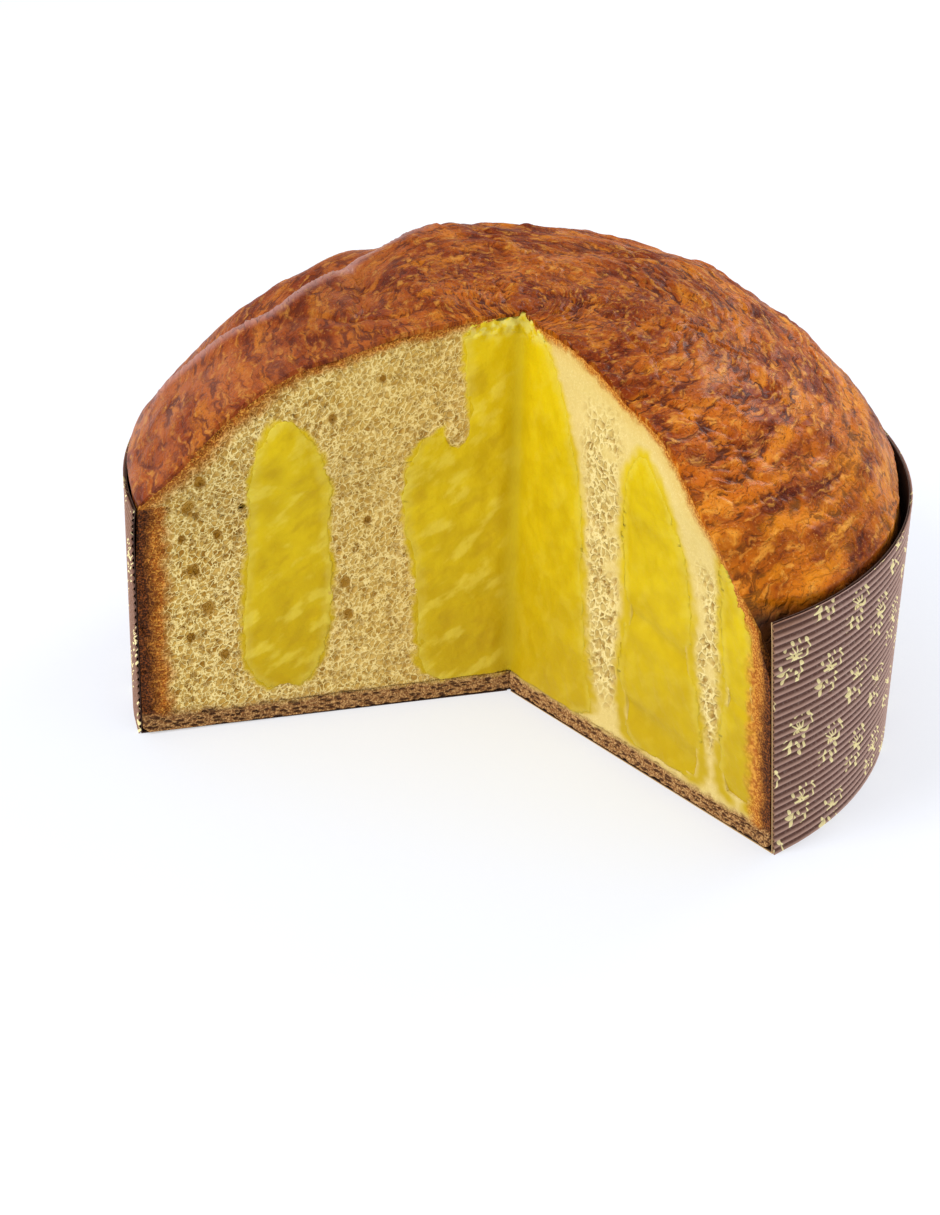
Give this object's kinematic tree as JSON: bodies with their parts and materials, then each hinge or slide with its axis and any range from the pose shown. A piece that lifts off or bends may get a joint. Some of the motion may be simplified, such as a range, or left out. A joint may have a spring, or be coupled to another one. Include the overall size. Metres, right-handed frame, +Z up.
{
  "type": "panettone",
  "caption": "Low round domed sweet bread in its baking case, one wide wedge cut out, with a custard cream core and cream pockets showing on the cut faces.",
  "frame": {"origin": "bottom centre of the part's box, on the surface it stands on; the round case's own axis is 9.9 mm in front of it, towards -Y", "axes": "+Z up, the missing wedge opens towards -Y, +X to the right of someone who looks into the wedge"},
  "size_m": [0.21, 0.1902, 0.1197],
  "materials": {
    "bread": "baked chestnut brown crust with a low gloss, golden open crumb where it is cut",
    "cream": "soft moist yellow custard cream",
    "case_paper": "brown corrugated baking paper with a small pale gold print",
    "case_print": "pale gold print on the paper",
    "crumb": "open golden bread crumb"
  },
  "bodies": {
    "root": {"loaf": "bread", "cream_core": "cream", "cream_left": "cream", "cream_middle": "cream", "cream_outer": "cream", "paper_case": "case_paper"}
  },
  "joints": []
}
